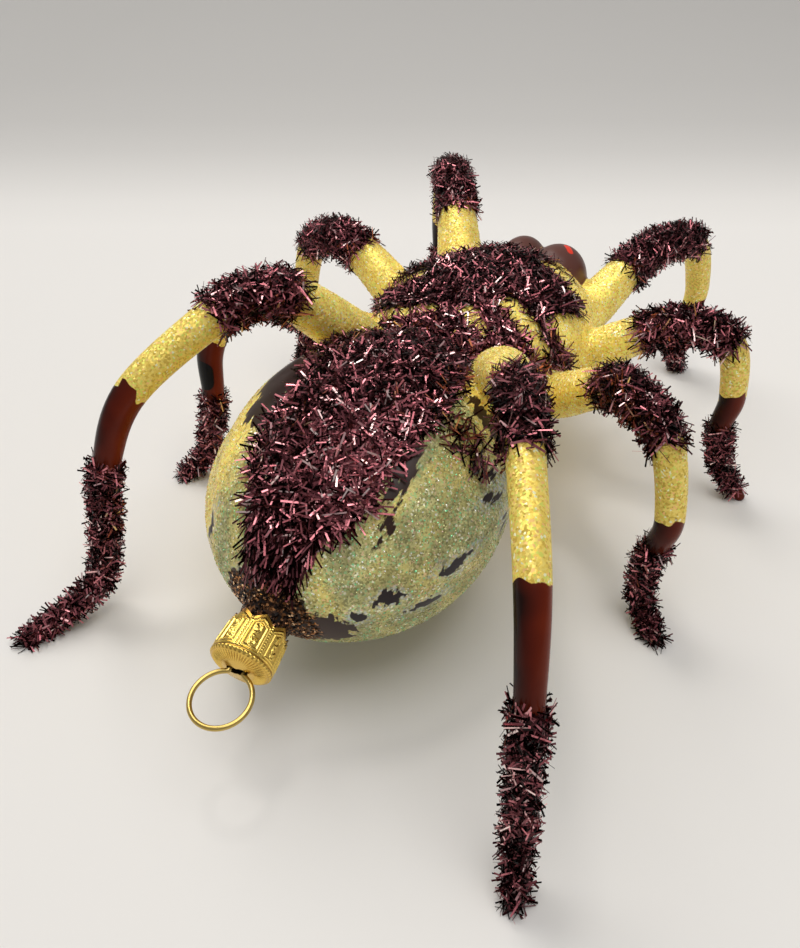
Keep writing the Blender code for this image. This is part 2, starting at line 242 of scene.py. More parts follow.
def ellipsoid(centre, half, tilt=0.0, lobes=0, depth=0.0):
    # An egg along Y; lobes swell it between shallow grooves that run from end to end.
    around, rings = 96, 64
    points = []
    for row in range(rings + 1):
        lat = math.pi * row / rings
        for column in range(around):
            lon = 2.0 * math.pi * column / around
            girth = math.sin(lat)
            swell = 1.0 + depth * (1.6 * abs(math.cos(lobes * lon / 2.0)) - 0.8) * girth
            points.append((half[0] * girth * swell * math.sin(lon), -half[1] * math.cos(lat),
                           half[2] * girth * swell * math.cos(lon)))
    faces = gridFaces(rings + 1, around)
    return tilted(points, tilt) + centre, faces


capRings = (0.05, 0.4, 0.75)  # shares of the radius, from the tip of a rounded end


def sweep(path, sides):
    # A closed tube along (point, radius), with three small rings rounding each end.
    points = [np.array(point, float) for point, _ in path]
    radii = [radius for _, radius in path]
    rings = []
    first, last = unit(points[1] - points[0]), unit(points[-1] - points[-2])
    for share in capRings:
        rings.append((points[0] - first * radii[0] * 0.5 * math.sqrt(1 - share ** 2),
                      radii[0] * share))
    rings += list(zip(points, radii))
    for share in capRings[::-1]:
        rings.append((points[-1] + last * radii[-1] * 0.5 * math.sqrt(1 - share ** 2),
                      radii[-1] * share))
    across = unit(np.cross(first, (0.3, 0.1, 1.0)))
    out = []
    for index, (centre, radius) in enumerate(rings):
        before = rings[max(index - 1, 0)][0]
        after = rings[min(index + 1, len(rings) - 1)][0]
        ahead = unit(after - before)
        across = unit(across - ahead * (across @ ahead))
        up = np.cross(ahead, across)
        for side in range(sides):
            turn = 2.0 * math.pi * side / sides
            out.append(centre + (across * math.cos(turn) + up * math.sin(turn)) * radius)
    faces = gridFaces(len(rings), sides)
    faces.append(tuple(range(sides))[::-1])
    faces.append(tuple(range((len(rings) - 1) * sides, len(rings) * sides)))
    return np.array(out), faces


def segmentDistance(points, start, stop):
    # Distance from a segment in as many axes as its ends have.
    start, stop = np.array(start, float), np.array(stop, float)
    here = points[:, :len(start)] - start
    along = stop - start
    share = np.clip(here @ along / max(along @ along, 1e-9), 0.0, 1.0)
    return np.linalg.norm(here - share[:, None] * along, axis=1)


def dressPiece(piece, nodes, finish=None):
    if finish:
        piece.data.materials.clear()
        piece.data.materials.append(finish)
    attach(piece, "root")
    if nodes:
        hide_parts(*nodes)


# Strips of tinsel or flakes of glitter scattered over a surface


def scatterTree(name, shape):
    tree = bpy.data.node_groups.new(name, "GeometryNodeTree")
    sockets = (("Geometry", "Geometry"), ("Density", "Float"), ("Length", "Float"),
               ("Width", "Float"), ("Thickness", "Float"), ("Lean", "Float"), ("Lift", "Float"),
               ("Roll", "Float"), ("Flow", "Vector"), ("Seed", "Int"), ("Finish", "Material"))
    for label, kind in sockets:
        tree.interface.new_socket(label, in_out="INPUT", socket_type="NodeSocket" + kind)
    tree.interface.new_socket("Geometry", in_out="OUTPUT", socket_type="NodeSocketGeometry")
    g = Graph(tree)
    given = g.node("NodeGroupInput", {}, {})
    seed = given.other("Seed")

    def named(label, kind="FLOAT"):
        return g.node("GeometryNodeInputNamedAttribute", {"data_type": kind}, {"Name": label})

    def chance(offset, low=0.0, high=1.0):
        return g.node("FunctionNodeRandomValue", {"data_type": "FLOAT"},
                      {2: low, 3: high, "Seed": seed + offset}, 1)

    def direction(offset):
        return g.node("FunctionNodeRandomValue", {"data_type": "FLOAT_VECTOR"},
                      {0: (-1.0, -1.0, -1.0), 1: (1.0, 1.0, 1.0), "Seed": seed + offset}, 0)

    spread = g.node("GeometryNodeDistributePointsOnFaces", {"distribute_method": "RANDOM"},
                    {"Mesh": given, "Density": given.other("Density") * named("cover"),
                     "Seed": seed})
    normal = spread.other("Normal")
    lifted = g.node("GeometryNodeSetPosition", {},
                    {"Geometry": spread,
                     "Offset": g.stretch(normal, given.other("Lift") * chance(1) * named("cover"))})
    aim = g.vector("ADD", g.vector("NORMALIZE", direction(2)),
                   g.stretch(given.other("Flow"), named("combed")))
    upward = g.node("ShaderNodeVectorMath", {"operation": "DOT_PRODUCT"},
                    {0: aim, 1: normal}, "Value")
    flat = g.vector("NORMALIZE", g.vector("SUBTRACT", aim, g.stretch(normal, upward)))
    lean = given.other("Lean") * chance(3) ** 1.7
    ahead = g.vector("ADD", g.stretch(flat, g.maths("COSINE", lean)),
                     g.stretch(normal, g.maths("SINE", lean)))
    facing = g.vector("ADD", normal, g.stretch(direction(4), given.other("Roll")))
    turned = g.node("FunctionNodeAlignRotationToVector", {"axis": "X"}, {"Vector": ahead})
    turned = g.node("FunctionNodeAlignRotationToVector", {"axis": "Z", "pivot_axis": "X"},
                    {"Rotation": turned, "Vector": facing})
    if shape == "strip":
        form = g.node("GeometryNodeMeshCylinder", {},
                      {"Vertices": 3, "Radius": 0.5, "Depth": 1.0}, "Mesh")
        form = g.node("GeometryNodeTransform", {},
                      {"Geometry": form, "Rotation": (0.0, math.pi / 2.0, 0.0),
                       "Translation": (0.36, 0.0, 0.0)})
    else:
        form = g.node("GeometryNodeMeshCone", {},
                      {"Vertices": 4, "Radius Top": 0.0, "Radius Bottom": 0.5, "Depth": 1.0},
                      "Mesh")
    form = g.node("GeometryNodeSetShadeSmooth", {}, {"Geometry": form, "Shade Smooth": False})
    size = g.node("ShaderNodeCombineXYZ", {},
                  {0: given.other("Length") * chance(5, 0.7, 1.15),
                   1: given.other("Width") * chance(6, 0.75, 1.25),
                   2: given.other("Thickness")})
    placed = g.node("GeometryNodeInstanceOnPoints", {},
                    {"Points": lifted, "Instance": form, "Rotation": turned, "Scale": size})
    toned = g.node("GeometryNodeStoreNamedAttribute", {"data_type": "FLOAT", "domain": "INSTANCE"},
                   {"Geometry": placed, "Name": "tone", "Value": chance(7) ** named("calm")})
    whole = g.node("GeometryNodeRealizeInstances", {}, {"Geometry": toned})
    # Nothing may pass through the floor.
    above = g.vector("MAXIMUM", g.node("GeometryNodeInputPosition", {}, {}), (-1.0, -1.0, 0.0001))
    whole = g.node("GeometryNodeSetPosition", {}, {"Geometry": whole, "Position": above})
    whole = g.node("GeometryNodeSetMaterial", {}, {"Geometry": whole,
                                                   "Material": given.other("Finish")})
    g.node("NodeGroupOutput", {}, {"Geometry": whole})
    return tree


# From mm, strips to the square mm and degrees to what the trees take
units = {"Density": 1e6, "Length": 0.001, "Width": 0.001, "Thickness": 0.001, "Lift": 0.001,
         "Lean": math.pi / 180.0}


def scatter(name, source, tree, finish, **values):
    # Runs the tree on a copy of the source surface and keeps only what it grew.
    piece = addObject(name, source.data.copy())
    grow = piece.modifiers.new("grow", "NODES")
    grow.node_group = tree
    values["Finish"] = finish
    for item in tree.interface.items_tree:
        if item.in_out == "INPUT" and item.name in values:
            value = values[item.name]
            grow[item.identifier] = value * units[item.name] if item.name in units else value
    return settle(piece)


def emitter(body, cover, combed, calm):
    # A copy of a surface that carries only what the scatter needs.
    source = bpy.data.objects.new("emitter", body.data.copy())
    for layer in list(source.data.attributes):
        if layer.data_type == "FLOAT" and layer.domain == "POINT":
            source.data.attributes.remove(layer)
    setFields(source, cover=cover, combed=combed, calm=calm)
    return source


# Stage, lights and camera

studio = {
    "floorColour": (0.8, 0.775, 0.745),
    "floorReach": 2400.0,
    "floorFront": 1600.0,
    "sweepStart": 200.0,
    "sweepRadius": 900.0,
    # painted shade: the sweep's colour darkens as it rises up the wall
    "fade": ((0.0, 1.0), (0.1, 0.95), (0.31, 0.74), (0.43, 0.665), (0.6, 0.62), (0.9, 0.58)),
    "worldColour": (0.97, 0.98, 1.0),
    "worldStrength": 0.33,
    "lights": (  # place, width in mm, watts, colour
        ("windowPanel", (-900.0, 420.0, 1150.0), 1100.0, 8.5, (1.0, 0.99, 0.96)),
        ("overheadPanel", (250.0, -150.0, 1500.0), 1100.0, 9.5, (1.0, 0.99, 0.97)),
        ("glintLamp", (-230.0, 160.0, 960.0), 160.0, 1.2, (1.0, 0.97, 0.93)),
    ),
}


def floorFinish():
    look = Finish("studioSweep")
    # Painted shade: the floor darkens up the wall.
    stops = [(place, [channel * share for channel in studio["floorColour"]])
             for place, share in studio["fade"]]
    colour = look.ramp(look.field("fade"), stops)
    # Painted light: the floor is a little lighter towards the right and the front, in place of a
    # lamp there.
    slant = (look.field("slant") + 0.12).clamp()
    return look.set(colour=look.stretch(colour, slant + 0.88), roughness=0.8, metallic=0.0)


def makeStage():
    # A floor that bends up behind the object; its share runs from 0 on the flat to 1 on the wall,
    # and the colour darkens along it as painted shade.
    reach = studio["floorReach"]
    start, radius = studio["sweepStart"], studio["sweepRadius"]
    profile = [(-studio["floorFront"], 0.0, 0.0), (start, 0.0, 0.0)]
    for degree in list(range(1, 21)) + list(range(24, 81, 4)):
        turn = math.radians(degree)
        profile.append((start + radius * math.sin(turn), radius * (1.0 - math.cos(turn)),
                        min(degree / 20.0, 1.0)))
    turn = math.radians(camera["heading"])
    ahead = (-math.sin(turn), math.cos(turn))
    across = (math.cos(turn), math.sin(turn))
    points, fade, slant = [], [], []
    for away, high, share in profile:
        for side in (-reach, reach):
            points.append((ahead[0] * away + across[0] * side, ahead[1] * away + across[1] * side,
                           high))
            fade.append(share)
            # painted light: the floor's colour rises towards the right and the front
            slant.append((0.25 * side - 0.15 * away) * 0.001)
    faces = [(2 * row, 2 * row + 1, 2 * row + 3, 2 * row + 2) for row in range(len(profile) - 1)]
    floor = addMesh("studioFloor", points, faces)
    setFields(floor, fade=fade, slant=slant)
    floor.data.shade_smooth()
    floor.data.materials.append(floorFinish())


def makeLights():
    world = bpy.data.worlds.new("studioAir")
    bpy.context.scene.world = world
    world.use_nodes = True
    backdrop = world.node_tree.nodes["Background"]
    backdrop.inputs["Color"].default_value = (*studio["worldColour"], 1.0)
    backdrop.inputs["Strength"].default_value = studio["worldStrength"]
    for name, place, size, power, colour in studio["lights"]:
        lamp = bpy.data.lights.new(name, "AREA")
        lamp.shape = "DISK"
        lamp.size = size * 0.001
        lamp.energy = power
        lamp.color = colour
        item = addObject(name, lamp)
        item.location = Vector(place) * 0.001
        aim = Vector((0.0, 0.0, 0.03)) - item.location
        item.rotation_euler = aim.to_track_quat("-Z", "Y").to_euler()


camera = {
    "place": (81.0, -176.4, 160.0),
    "pitch": 38.0,
    "heading": 28.0,
    "focal": 32.92,
}


def makeCamera():
    lens = bpy.data.cameras.new("photoCamera")
    lens.sensor_fit = "VERTICAL"
    lens.sensor_height = 36.0
    lens.lens = camera["focal"]
    lens.clip_start = 0.01
    item = addObject("photoCamera", lens)
    item.location = metres([camera["place"]])[0]
    item.rotation_euler = (math.radians(90.0 - camera["pitch"]), 0.0,
                           math.radians(camera["heading"]))
    bpy.context.scene.camera = item


# The line of each leg

legStations = ("root", "hip", "thigh", "kneeStart", "kneeTop", "kneeEnd",
               "shinEnd", "ankle", "heel", "ball", "toe")
legRadii = (7.8, 7.2, 6.2, 5.0, 4.3, 4.05, 3.6, 3.0, 2.65, 2.4, 1.6)
rootReach = -7.0  # the root lies inside the body, behind and below the hip
rootDrop = 3.0
toeHeight = 0.3
tubeSides = 48
legSteps = 14  # rings between two stations

# Each line gives the reach from the hip and the height, station by station.
legs = {
    "left_1": {
        "hip": (-18.0, 52.0, 38.0), "toe": (-49.5, 102.0), "girth": 1.2,
        "line": ((9, 43), (22, 55), (32, 62), (45, 58), (55, 40), (56, 28), (55, 17), (56, 8)),
    },
    "left_2": {
        "hip": (-22.0, 33.5, 37.0), "toe": (-75.0, 42.0), "girth": 1.1,
        "line": ((9, 41), (24, 51), (34, 54), (44, 48), (48, 34), (48, 25), (48, 15), (50, 8)),
    },
    "left_3": {
        "hip": (-22.0, 15.5, 36.0), "toe": (-71.5, -27.0), "girth": 1.04,
        "spot": (0.42, 2.9), "glitterDrop": -4.5,
        "line": ((10, 41), (25, 50), (36, 55), (47, 51), (52, 41), (53, 27), (55, 15), (58, 7)),
    },
    "left_4": {
        "hip": (-17.0, -2.0, 40.0), "toe": (-63.5, -96.0), "girth": 1.08,
        "line": ((11, 54), (26, 68), (35, 71), (45, 69), (67, 57), (76, 41), (80, 24), (85, 9)),
    },
    "right_1": {
        "hip": (16.0, 53.0, 37.0), "toe": (43.0, 104.5), "girth": 1.1, "glitterDrop": 4.5,
        "line": ((9, 38), (22, 46), (35, 51), (52, 48), (59, 32), (58, 22), (55, 13), (55, 7)),
    },
    "right_2": {
        "hip": (22.0, 33.5, 35.0), "toe": (77.0, 40.5), "girth": 1.0, "toeBare": 7,
        "line": ((8, 39), (20, 47), (30, 51), (42, 48), (46, 33), (45, 23), (47, 13), (50, 7)),
    },
    "right_3": {
        "hip": (22.0, 15.5, 33.5), "toe": (70.0, -24.8), "girth": 0.95,
        "line": ((10, 39), (28, 52), (39, 55), (51, 51), (57, 35), (55, 25), (53, 14), (55, 6)),
    },
    "right_4": {
        "hip": (16.0, -4.0, 40.0), "toe": (63.6, -99.0), "girth": 0.93, "flare": 1.28,
        "kneeBare": 6,
        "line": ((11, 54), (34, 67), (47, 71), (60, 69), (83, 59), (94, 42), (98, 26), (101, 11)),
    },
}


def legPoints(spec):
    hip = np.array(spec["hip"])
    toe = np.array((*spec["toe"], toeHeight * spec["girth"]))
    outward = unit(np.array((toe[0] - hip[0], toe[1] - hip[1], 0.0)))
    ground = np.array((hip[0], hip[1], 0.0))
    points = [hip + outward * rootReach - (0.0, 0.0, rootDrop), hip]
    points += [ground + outward * reach + (0.0, 0.0, high) for reach, high in spec["line"]]
    return points + [toe]


def legPath(spec, start, stop, steps):
    # A smooth line of (point, radius) between two stations.
    points = legPoints(spec)
    radii = [radius * spec["girth"] for radius in legRadii]
    radii[:3] = [radius * spec.get("flare", 1.0) for radius in radii[:3]]
    first, last = legStations.index(start), legStations.index(stop)
    path = []
    for index in range(first, last):
        before = points[max(index - 1, 0)]
        here, there = points[index], points[index + 1]
        after = points[min(index + 2, len(points) - 1)]
        for step in range(steps):
            t = step / steps
            bend = 0.5 * (2 * here + (there - before) * t
                          + (2 * before - 5 * here + 4 * there - after) * t ** 2
                          + (3 * here - before - 3 * there + after) * t ** 3)
            path.append((bend, radii[index] + (radii[index + 1] - radii[index]) * t))
    path.append((points[last], radii[last]))
    return path


# Body

# The blown form: bulb, waist, carapace, two front domes and the neck.
glassBody = {
    # Centre and half sizes; for the bulb also its tilt and how many lobes it has, how deep.
    "bulb": ((0.0, -41.0, 34.8), (34.0, 40.5, 28.7), 10.0, 9, 0.026),
    "waist": ((0.0, -6.0, 38.0), (12.0, 14.0, 11.0)),
    "carapace": ((-1.5, 28.5, 41.8), (30.0, 38.5, 16.6)),
    "domes": (((-4.3, 64.5, 43.2), (8.0, 10.5, 10.8)), ((7.3, 64.0, 42.8), (9.3, 11.0, 11.0))),
    "neckMouth": (0.7, -92.4, 24.9), "neckTilt": 10.0, "neckTurn": 6.0,
    "neckRadius": 5.2, "neckFlare": 11.0, "neckHidden": (3.2, 5.0),
    "neckStraight": 8.0, "neckLength": 21.0,
    "coneSides": 40, "voxel": 0.7, "smoothing": 8,
}


def neckLine():
    # The neck's own axes: across, forward from its mouth, and up.
    tilt, turn = math.radians(glassBody["neckTilt"]), math.radians(glassBody["neckTurn"])
    lean = np.array(((1, 0, 0), (0, math.cos(tilt), -math.sin(tilt)),
                     (0, math.sin(tilt), math.cos(tilt))))
    veer = np.array(((math.cos(turn), -math.sin(turn), 0), (math.sin(turn), math.cos(turn), 0),
                     (0, 0, 1)))
    return (veer @ lean).T


def alongNeck(distance, across=0.0, up=0.0):
    side, ahead, rise = neckLine()
    return np.array(glassBody["neckMouth"]) + side * across + ahead * distance + rise * up


def neckForm():
    # Starts inside the cap, where its closed end can't be seen through the ring's hole.
    spec = glassBody
    path = [(alongNeck(distance), spec["neckRadius"])
            for distance in (*spec["neckHidden"], spec["neckStraight"])]
    span = spec["neckLength"] - spec["neckStraight"]
    for step in range(1, 9):
        share = step / 8.0
        path.append((alongNeck(spec["neckStraight"] + span * share),
                     spec["neckRadius"] + (spec["neckFlare"] - spec["neckRadius"]) * share ** 2))
    return sweep(path, tubeSides)


def makeBody():
    spec = glassBody
    forms = [ellipsoid(*spec[name]) for name in ("bulb", "waist", "carapace")] + [neckForm()]
    forms += [ellipsoid(*dome) for dome in spec["domes"]]
    for leg in legs.values():
        forms.append(sweep(legPath(leg, "root", "kneeTop", 6), spec["coneSides"]))
    points, faces = [], []
    for corners, polygons in forms:
        shift = sum(len(group) for group in points)
        points.append(corners)
        faces += [tuple(index + shift for index in polygon) for polygon in polygons]
    body = addMesh("bodyGlass", np.concatenate(points), faces)
    remesh = body.modifiers.new("fuse", "REMESH")
    remesh.mode = "VOXEL"
    remesh.voxel_size = spec["voxel"] * 0.001
    relax = body.modifiers.new("relax", "SMOOTH")
    relax.factor = 0.5
    relax.iterations = spec["smoothing"]
    settle(body)
    body.data.shade_smooth()
    print("body", len(body.data.polygons))
    return body


# What covers the body, as fields in mm that are positive inside

waistEdge = -8.5  # where the coats of the abdomen and the carapace meet
farOutside = -50.0

# Tinsel coats on the body, seen from above, with the bare fingers between their strands.
coats = {
    "abdomen": {
        "outline": ((-5, -80), (-8, -73), (-12, -66), (-13, -58), (-12, -50), (-14, -40),
                    (-17.5, -28), (-19, -18), (-16, -9), (15, -9), (16.5, -20), (18, -30),
                    (19, -38), (18.5, -46), (17.5, -52), (16.2, -58), (16, -66), (12.5, -71),
                    (9, -75), (6, -80)),
        "lowest": 37.0,
        "fingers": (),
    },
    "carapace": {
        "outline": ((-14, -8.5), (-20.5, 3), (-29, 13), (-29, 27), (-20, 39), (-12, 48),
                    (-5, 54.5), (5, 55), (15, 50), (22, 44.5), (27.5, 38), (30, 30), (28.5, 18),
                    (23, 8), (16, -8.5)),
        "lowest": 40.0,
        "fingers": ((10.0, 17.0, 20.5, 11.5, 3.4), (23.5, 21.0, 29.0, 31.0, 4.2),
                    (10.0, 47.0, 20.0, 42.5, 4.0), (20.0, 42.5, 27.0, 36.5, 4.2),
                    (-24.0, 8.3, -15.0, 5.2, 2.2), (-13.0, 6.0, -5.0, 8.0, 2.0),
                    (1.0, 10.0, 8.0, 5.0, 2.2), (-28.0, 21.5, -20.0, 24.5, 3.6),
                    (-22.0, 38.0, -14.0, 46.0, 3.6)),
    },
}

# Loose strips beside the abdomen's coat: centre, half sizes and how thickly they lie.
sideTuft = ((24.5, -41.5, 54.5), (8.0, 5.0, 9.0), 0.3)

# Bare brown lacquer where the glitter is missing: centre, half sizes.
bareSpots = (
    ((-17.5, -40.0, 58.5), (7.5, 12.0, 7.0)), ((-16.0, -53.0, 57.0), (6.0, 7.0, 5.0)),
    ((-10.0, -65.5, 54.0), (2.2, 4.0, 3.0)), ((18.6, -57.0, 54.5), (2.6, 7.0, 5.0)),
    ((19.6, -65.0, 48.5), (1.2, 4.5, 4.0)), ((24.5, -30.0, 54.0), (5.0, 4.0, 6.0)),
    ((27.5, -27.5, 49.5), (3.0, 4.0, 4.0)), ((11.5, -78.0, 26.0), (7.0, 5.0, 5.5)),
    ((23.5, 38.5, 50.0), (3.4, 2.2, 2.6)),
)

# Worn holes in the glitter, dark with pale blue edges.
wornSpots = (
    ((22.3, -71.0, 34.5), (3.6, 2.6, 2.0)), ((27.6, -64.0, 29.2), (3.6, 4.6, 1.5)),
    ((30.6, -57.6, 36.5), (2.4, 5.0, 1.9)), ((31.8, -53.6, 37.2), (1.4, 2.6, 1.0)),
    ((32.0, -42.5, 44.3), (1.6, 3.6, 1.1)), ((31.0, -40.5, 47.4), (1.6, 2.4, 1.3)),
    ((17.8, -75.2, 30.4), (2.0, 1.6, 1.7)), ((33.6, -41.0, 36.0), (1.4, 2.0, 3.0)),
    ((-19.6, -72.5, 37.0), (1.2, 1.8, 6.0)), ((-5.5, -80.2, 35.6), (3.0, 1.6, 1.6)),
)


def outlineField(points, outline):
    x, y = points[:, 0], points[:, 1]
    near = np.full(len(points), 1e9)
    inside = np.zeros(len(points), bool)
    for (x1, y1), (x2, y2) in zip(outline, outline[1:] + outline[:1]):
        near = np.minimum(near, segmentDistance(points, (x1, y1), (x2, y2)))
        if y1 != y2:
            crosses = (y1 > y) != (y2 > y)
            inside ^= crosses & (x < (x2 - x1) * (y - y1) / (y2 - y1) + x1)
    return np.where(inside, near, -near)


def coatField(points, spec):
    field = outlineField(points, spec["outline"])
    field = np.minimum(field, points[:, 2] - spec["lowest"])
    for x1, y1, x2, y2, half in spec["fingers"]:
        field = np.minimum(field, segmentDistance(points, (x1, y1), (x2, y2)) - half)
    return field


def spotField(points, spots):
    field = np.full(len(points), farOutside)
    for centre, half in spots:
        size = np.linalg.norm((points - centre) / half, axis=1)
        field = np.maximum(field, (1.0 - size) * min(half))
    return field


def coneField(points):
    # Positive on the flared cones where the legs leave the body.
    field = np.full(len(points), farOutside)
    for spec in legs.values():
        path = legPath(spec, "hip", "kneeTop", 4)
        for (start, radius), (stop, _) in zip(path, path[1:]):
            field = np.maximum(field, radius + 0.9 - segmentDistance(points, start, stop))
    return field


def paintBody(body):
    points = pointsOf(body)
    cone = coneField(points)
    coat = {}
    for name, spec in coats.items():
        coat[name] = np.minimum(coatField(points, spec), -cone - 0.4)
    coat["abdomen"] = np.where(points[:, 1] < waistEdge + 0.5, coat["abdomen"], farOutside)
    coat["carapace"] = np.where(points[:, 1] >= waistEdge, coat["carapace"], farOutside)
    bare = np.minimum(spotField(points, bareSpots), -cone)
    worn = spotField(points, wornSpots)
    axis = neckLine()[1]
    here = points - glassBody["neckMouth"]
    neckAlong = here @ axis
    neckOut = np.linalg.norm(here - neckAlong[:, None] * axis, axis=1)
    neck = np.where((neckAlong < 22.0) & (neckAlong > 8.0), 11.5 - neckOut, farOutside)
    capped = np.where(neckAlong < 8.6, 9.0 - neckOut, farOutside)
    dome = np.full(len(points), farOutside)
    for centre, half in glassBody["domes"]:
        size = np.linalg.norm((points - centre) / half, axis=1)
        dome = np.maximum(dome, (1.06 - size) * 8.0)
    dome = np.minimum(dome, points[:, 1] - 57.5)
    thorax = np.clip((points[:, 1] + 12.0) / 8.0, 0.0, 1.0)
    gold = np.maximum(thorax, np.clip(cone * 0.25 + 1.0, 0.0, 1.0))
    # Painted light: the left side, where the window light falls, gets more of the brighter gold
    # glitter.
    gold = np.maximum(gold * 1.6, np.clip((-points[:, 0] - 14.0) / 7.0, 0.0, 0.95))
    anyCoat = np.maximum(np.maximum(coat["abdomen"], coat["carapace"]), capped)
    for spec in legs.values():  # the cones are dark under the knees' tinsel, as painted shadow
        start, stop = legPoints(spec)[3:5]
        cuff = (points - start) @ unit(stop - start) - (spec.get("kneeBare", 3) - 3) * 1.6
        anyCoat = np.maximum(anyCoat, np.minimum(cuff, 9.0 - segmentDistance(points, start, stop)))
    dot = 1.1 - segmentDistance(points, (9.0, 66.2, 53.3), (10.9, 63.9, 52.9))
    setFields(body, coat=anyCoat, bare=bare, worn=worn, neck=neck, dome=dome, gold=gold, dot=dot)
    blank = np.maximum.reduce([anyCoat + 0.4, bare + 0.3, worn + 0.6, neck, dome + 0.6])
    goldAndLitShare = np.clip(gold, 0.0, 1.0).astype(np.float32)
    flaked = np.clip(-blank * 1.5, 0.0, 1.0)
    comb = np.clip((-points[:, 1] - 69.0) / 10.0, 0.0, 1.0) * 1.7
    calm = np.full(len(points), tinsel["calm"])
    # painted highlights around some places, and more dark strips as painted shade where the drop is
    # negative
    for centre, reach, drop in tinsel["paintedLightSpots"]:
        calm -= drop * np.exp(-(np.linalg.norm(points - centre, axis=1) / reach) ** 2)
    centre, half, share = sideTuft
    tuft = np.where((spotField(points, ((centre, half),)) > 0.0) & (cone < -0.5), share, 0.0)
    return {
        "gold": flaked * goldAndLitShare,
        "khaki": flaked * (1.0 - goldAndLitShare),
        "neck": np.clip(neck * 0.6, 0.0, 1.0),
        "abdomen": np.maximum(np.clip(coat["abdomen"] * 0.7 + 0.4, 0.0, 1.0), tuft),
        "carapace": np.clip(coat["carapace"] * 0.7 + 0.4, 0.0, 1.0),
        "combed": comb,
        "calm": calm,
    }


# Glitter and lacquer

# Flakes of one colour each: the share of cells from which a colour starts, and the colour.
goldenCells = ((0.0, (0.72, 0.5, 0.09)), (0.22, (0.92, 0.68, 0.14)), (0.55, (1.0, 0.78, 0.2)),
               (0.78, (0.8, 0.8, 0.16)), (0.88, (1.0, 0.62, 0.22)), (0.95, (1.0, 0.98, 0.6)))
khakiCells = ((0.0, (0.3, 0.29, 0.12)), (0.22, (0.46, 0.44, 0.18)), (0.55, (0.58, 0.55, 0.25)),
              (0.78, (0.38, 0.56, 0.26)), (0.88, (0.66, 0.5, 0.28)), (0.95, (0.9, 0.88, 0.62)))
copperCells = ((0.0, (0.012, 0.006, 0.004)), (0.5, (0.06, 0.025, 0.012)),
               (0.8, (0.22, 0.09, 0.03)), (0.95, (0.75, 0.35, 0.14)))
underTinsel = (0.004, 0.0015, 0.0015, 1.0)  # glue and shadow between the strips
glitterRoughness = 0.38
glitterMetal = 0.25
facetTilt = 0.5

bodyColours = {
    "lacquer": ((0.3, (0.016, 0.006, 0.004)), (0.7, (0.046, 0.022, 0.016))),
    "dome": ((0.3, (0.085, 0.028, 0.02)), (0.7, (0.13, 0.045, 0.034))),
    "redDot": (0.8, 0.04, 0.015, 1.0),
    "wornRim": (0.55, 0.62, 0.75, 1.0),
    "wornHole": (0.02, 0.012, 0.014, 1.0),
    "cell": 0.42,
    "copperCell": 0.7,
    "copperTilt": 1.1,
    "smoothRoughness": 0.36,
    "specular": 0.3,
}


def glassFinish():
    # The body: glitter, bare brown lacquer, worn holes, copper on the neck and the front domes.
    look, spec = Finish("glitteredBody"), bodyColours
    place = look.place
    cell = look.cells(spec["cell"])
    pick = look.channel(cell, 0)
    khaki = look.ramp(pick, khakiCells, "CONSTANT")
    golden = look.ramp(pick, goldenCells, "CONSTANT")
    ribs = look.drawnOut(place, (1.0, 0.2, 0.5), 130.0)
    gold = (look.field("gold") + (ribs - 0.48) * 2.4).clamp()
    patchy = look.noise(place, 170.0, 4.0)
    # Gold brightens the colour; over the lit left side this is painted light.
    colour = look.stretch(look.blend(gold, khaki, golden),
                          (patchy - 0.5) * (2.0 - gold) + 1.06 + gold * 0.24)
    # Each field is in mm, so ragged moves the edges of the patches by a few mm.
    ragged = (look.drawnOut(place, (1.0, 0.16, 0.6), 900.0) - 0.5) * 7.0
    bare = ((look.field("bare") + ragged) * 2.0).clamp()
    worn = ((look.field("worn") + ragged * 0.7) * 3.0).clamp()
    mottled = (look.noise(place, 500.0) - 0.5) * 5.0
    rim = ((look.field("worn") + 1.6 + mottled) * 0.8).clamp()
    rim = rim * (look.noise(place, 1500.0) - 0.42).clamp() * 2.4
    # painted shadow under the tinsel coats
    under = ((look.field("coat") + ragged * 0.6) * 2.0).clamp()
    neck = ((look.field("neck") + mottled) * 2.0).clamp()
    dome = (look.field("dome") * 4.0).clamp()
    dot = (look.field("dot") * 8.0).clamp()
    coarse = look.cells(spec["copperCell"])
    layers = (
        (rim.clamp(), spec["wornRim"]),
        (bare, look.ramp(look.noise(place, 45.0, 3.0), spec["lacquer"])),
        (worn, spec["wornHole"]),
        (under, underTinsel),
        (neck, look.ramp(look.channel(coarse, 1), copperCells, "CONSTANT")),
        (dome, look.ramp(look.noise(place, 40.0), spec["dome"])),
        (dot, spec["redDot"]),
    )
    for share, layer in layers:
        colour = look.blend(share, colour, layer)
    smooth = (bare + worn + under * 0.6 + dome).clamp()
    shine = look.blendVectors(smooth, look.facets(cell, facetTilt), look.straight())
    shine = look.blendVectors(neck, shine, look.facets(coarse, spec["copperTilt"]))
    rough = glitterRoughness - smooth * (glitterRoughness - spec["smoothRoughness"])
    return look.set(colour=colour, roughness=rough, metallic=(1.0 - smooth) * glitterMetal,
                    normal=look.vector("NORMALIZE", shine), specular=spec["specular"])


